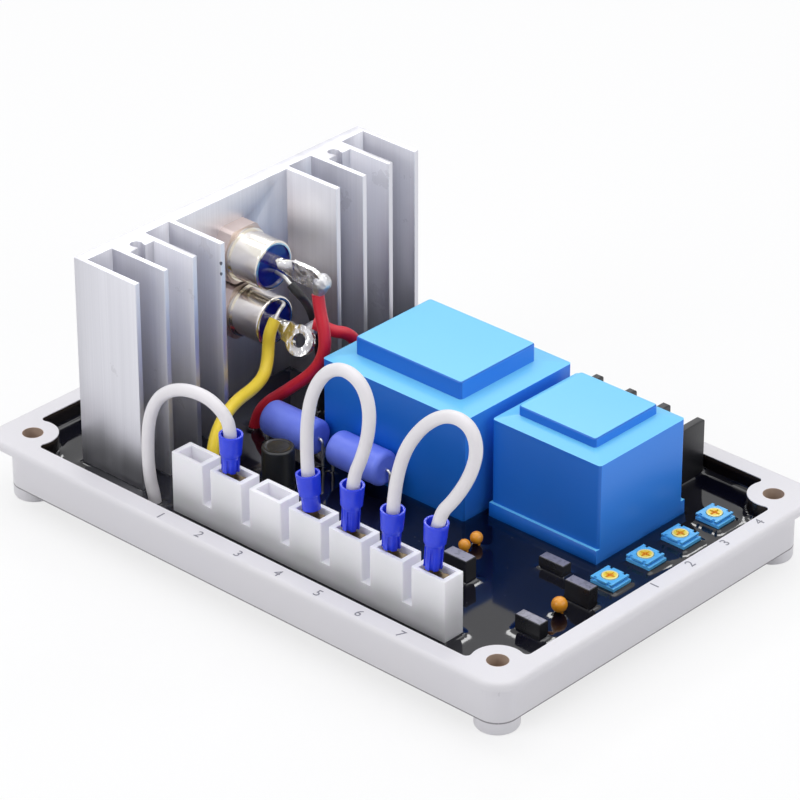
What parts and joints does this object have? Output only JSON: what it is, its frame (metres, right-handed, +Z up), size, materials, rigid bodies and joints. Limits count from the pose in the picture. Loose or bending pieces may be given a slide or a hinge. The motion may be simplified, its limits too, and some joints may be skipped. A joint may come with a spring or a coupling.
{
  "type": "automatic voltage regulator",
  "caption": "Open tray voltage regulator for a generator: resin-filled tray, finned heat sink with stud thyristors, potted transformers, push-on terminal strip and trimmers",
  "frame": {"origin": "centre of the tray's plan, at the underside of its feet", "axes": "+X along the tray's long side away from the heat sink, -Y towards the terminal strip, +Z up out of the tray"},
  "size_m": [0.168, 0.116, 0.0705],
  "materials": {
    "tray_plastic": "satin",
    "board": "satin",
    "resin": "gloss",
    "aluminium": "satin",
    "steel": "satin",
    "nickel": "bright",
    "seal_glass": "gloss",
    "solder": "satin",
    "tin": "satin",
    "transformer_blue": "satin",
    "nylon": "satin",
    "sleeve_blue": "satin",
    "wire_white": "satin",
    "wire_yellow": "satin",
    "wire_black": "matte",
    "wire_red": "satin",
    "trimmer_blue": "satin",
    "rotor_yellow": "satin",
    "capacitor_black": "gloss",
    "capacitor_blue": "satin",
    "bead_orange": "gloss",
    "black_anodised": "satin"
  },
  "bodies": {
    "regulator": {"tray": "tray_plastic", "circuit_board": "board", "potting_resin": "resin", "heat_sink": "aluminium", "sink_screws": "steel", "upper_thyristor_case": "nickel", "upper_glass_seal": "seal_glass", "upper_cathode_lug": "nickel", "upper_gate_pin": "nickel", "lower_thyristor_case": "nickel", "lower_glass_seal": "seal_glass", "lower_cathode_lug": "nickel", "lower_gate_pin": "nickel", "stud_washers": "steel", "stud_nuts": "steel", "upper_solder_joint": "solder", "lower_solder_joint": "solder", "large_transformer": "transformer_blue", "small_transformer": "transformer_blue", "terminal_tabs": "tin", "terminal_housing": "nylon", "connector_sleeve_2": "sleeve_blue", "connector_sleeve_4": "sleeve_blue", "connector_sleeve_5": "sleeve_blue", "connector_sleeve_6": "sleeve_blue", "connector_sleeve_7": "sleeve_blue", "receptacle_2": "tin", "receptacle_4": "tin", "receptacle_5": "tin", "receptacle_6": "tin", "receptacle_7": "tin", "sensing_lead": "wire_white", "jumper_4_5": "wire_white", "jumper_6_7": "wire_white", "yellow_gate_wire": "wire_yellow", "upper_gate_wire": "wire_black", "upper_cathode_wire": "wire_red", "lower_cathode_wire": "wire_red", "trimmer_1": "trimmer_blue", "trimmer_2": "trimmer_blue", "trimmer_3": "trimmer_blue", "trimmer_4": "trimmer_blue", "film_capacitor_1": "capacitor_black", "film_capacitor_2": "capacitor_black", "film_capacitor_3": "capacitor_black", "film_capacitor_4": "capacitor_black", "bead_capacitor_1": "bead_orange", "bead_capacitor_2": "bead_orange", "bead_capacitor_3": "bead_orange", "axial_capacitor_1": "capacitor_blue", "axial_capacitor_2": "capacitor_blue", "axial_leads": "tin", "can_capacitor": "capacitor_black", "rear_heat_sink": "black_anodised"},
    "rotor_1": {"trimmer_rotor_1": "rotor_yellow"},
    "rotor_2": {"trimmer_rotor_2": "rotor_yellow"},
    "rotor_3": {"trimmer_rotor_3": "rotor_yellow"},
    "rotor_4": {"trimmer_rotor_4": "rotor_yellow"}
  },
  "joints": [
    {"name": "trimmer_1_turn", "type": "hinge", "parent": "regulator", "child": "rotor_1", "pos_m": [0.0673, -0.0015, 0.0139], "axis": [0, 0, 1], "range_deg": [-120, 120]},
    {"name": "trimmer_2_turn", "type": "hinge", "parent": "regulator", "child": "rotor_2", "pos_m": [0.0673, 0.0112, 0.0139], "axis": [0, 0, 1], "range_deg": [-120, 120]},
    {"name": "trimmer_3_turn", "type": "hinge", "parent": "regulator", "child": "rotor_3", "pos_m": [0.0673, 0.0239, 0.0139], "axis": [0, 0, 1], "range_deg": [-120, 120]},
    {"name": "trimmer_4_turn", "type": "hinge", "parent": "regulator", "child": "rotor_4", "pos_m": [0.0673, 0.0366, 0.0139], "axis": [0, 0, 1], "range_deg": [-120, 120]}
  ]
}
